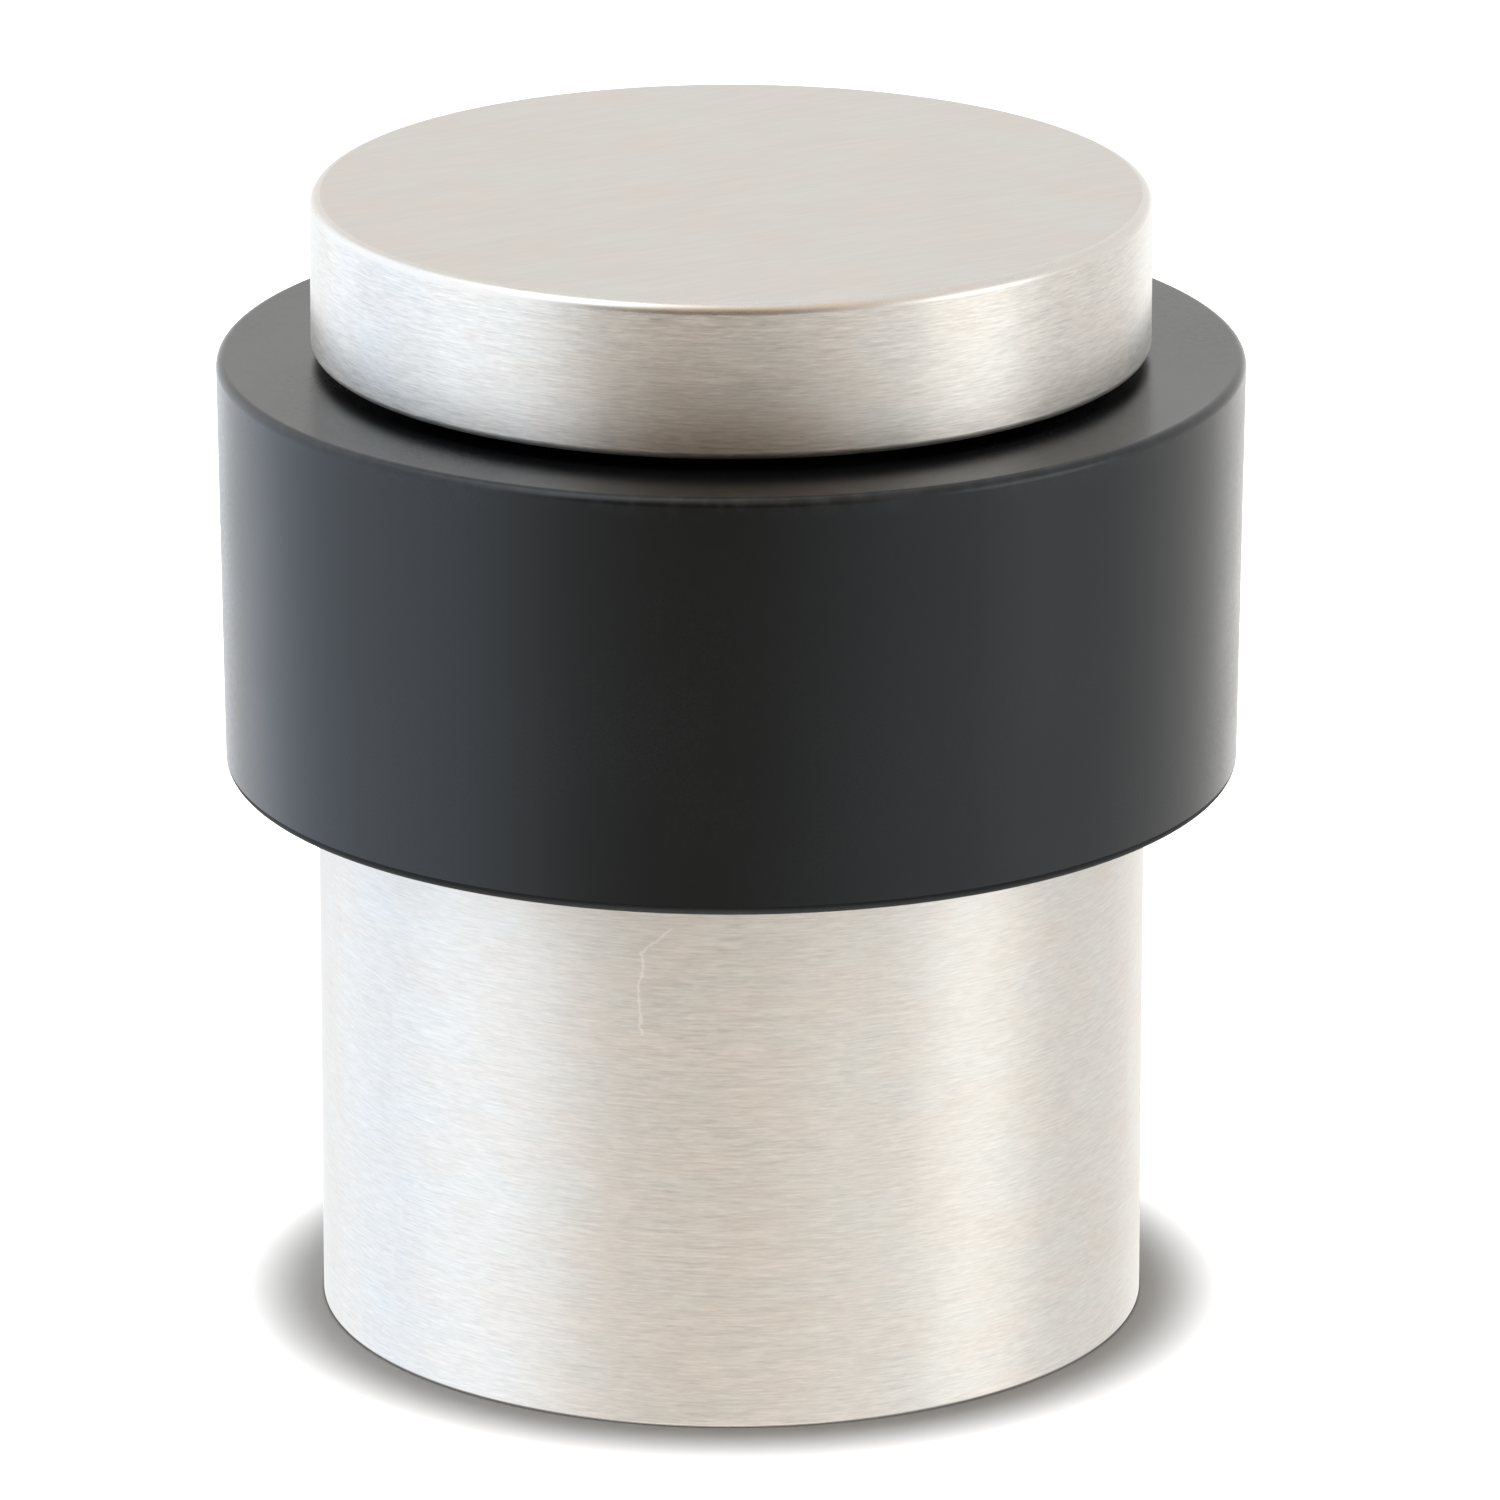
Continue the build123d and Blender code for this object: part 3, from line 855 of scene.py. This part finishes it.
def make_flat_washer():
    """The plain washer under the sleeve's web."""
    piece = lathe("washer_flat", rounded([
        (FLAT_HOLE_RADIUS, FLAT_LOW.z, FINE_FILLET),
        (FLAT_HIGH.x, FLAT_LOW.z, FINE_FILLET),
        (FLAT_HIGH.x, FLAT_HIGH.z, WASHER_TOP_FILLET),
        (FLAT_HOLE_RADIUS, FLAT_HIGH.z, SMALL_FILLET),
    ]))
    finish_piece(piece, "flat_washer", "stop", [washer_steel])


def make_spring_washer():
    """The split washer between the bolt's head and the flat washer."""
    piece = lathe("washer_spring", rounded([
        (SPRING_HOLE_RADIUS, SPRING_LOW.z, FINE_FILLET),
        (SPRING_HIGH.y, SPRING_LOW.z, FILLET),
        (SPRING_HIGH.y, SPRING_HIGH.z, FILLET),
        (SPRING_HOLE_RADIUS, SPRING_HIGH.z, FINE_FILLET),
    ]))
    corner = SPRING_SLIT / math.sqrt(2)
    slit = lathe("spring_slit", [
        (0, -SPRING_SLIT_REACH),
        (corner, -SPRING_SLIT_REACH),
        (corner, SPRING_SLIT_REACH),
        (0, SPRING_SLIT_REACH),
    ], segments=4)
    slit.data.transform(Matrix.Diagonal((SLIT_STRETCH, 1, 1, 1)) @ Matrix.Rotation(math.pi / 4, 4, "Z"))
    move_mesh(slit, (SPRING_HIGH.y, 0, (SPRING_LOW.z + SPRING_HIGH.z) / 2), (SPRING_SLIT_SLANT, 0, 0))
    cut(piece, slit)
    finish_piece(piece, "spring_washer", "stop", [washer_steel])


def make_thrust_washer():
    """The nylon washer between the neck and the cap."""
    piece = lathe("washer_nylon_disc", rounded([
        (CAP_SPIGOT_RADIUS + TURNING_GAP, THRUST_LOW.z, TINY_FILLET),
        (THRUST_HIGH.x, THRUST_LOW.z, SMALL_FILLET),
        (THRUST_HIGH.x, THRUST_HIGH.z, SMALL_FILLET),
        (CAP_SPIGOT_RADIUS + TURNING_GAP, THRUST_HIGH.z, TINY_FILLET),
    ]))
    finish_piece(piece, "thrust_washer", "washer", [washer_nylon])


make_camera()
make_studio()
make_floor()
make_sleeve()
make_cap()
make_ring()
make_core()
make_floor_plate()
make_tie_bolt()
make_set_screw()
make_flat_washer()
make_spring_washer()
make_thrust_washer()
